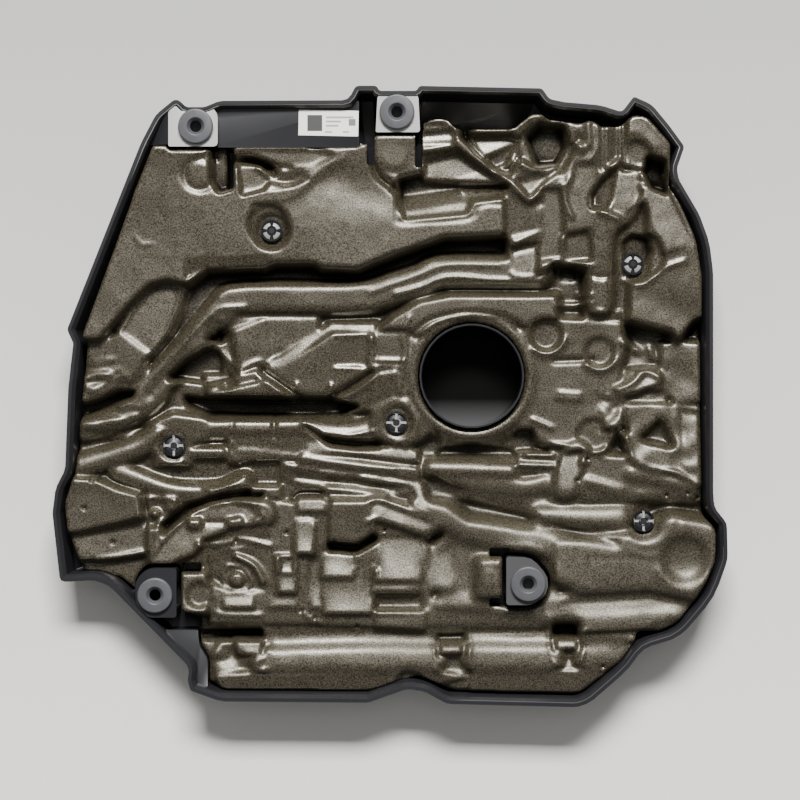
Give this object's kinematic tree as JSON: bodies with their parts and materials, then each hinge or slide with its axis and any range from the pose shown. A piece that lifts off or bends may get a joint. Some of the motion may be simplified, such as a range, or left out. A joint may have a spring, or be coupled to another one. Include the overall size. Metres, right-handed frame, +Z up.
{
  "type": "engine cover",
  "caption": "Black moulded engine cover with skirt, round filler well, moulded foam inlay, push-on retainers and rubber ball sockets in bracket towers.",
  "frame": {"origin": "middle of the footprint, on the surface that the cover lies on with its show face down", "axes": "+X along the length of the cover to the picture's right, +Y across its width to the picture's top, +Z up out of the engine side"},
  "size_m": [0.5402, 0.497, 0.0535],
  "materials": {
    "shell_plastic": "satin moulded black",
    "foam": "moulded polyurethane foam with a slightly glossy skin",
    "clip_plastic": "glossy black",
    "socket_rubber": "smooth grey-black rubber",
    "label_paper": "off-white film label"
  },
  "bodies": {
    "root": {"cover_shell": "shell_plastic", "foam_inlay": "foam", "clip_1": "clip_plastic", "clip_2": "clip_plastic", "clip_3": "clip_plastic", "clip_4": "clip_plastic", "clip_5": "clip_plastic", "grommet_1": "socket_rubber", "grommet_2": "socket_rubber", "grommet_3": "socket_rubber", "grommet_4": "socket_rubber", "label": "label_paper"}
  },
  "joints": []
}
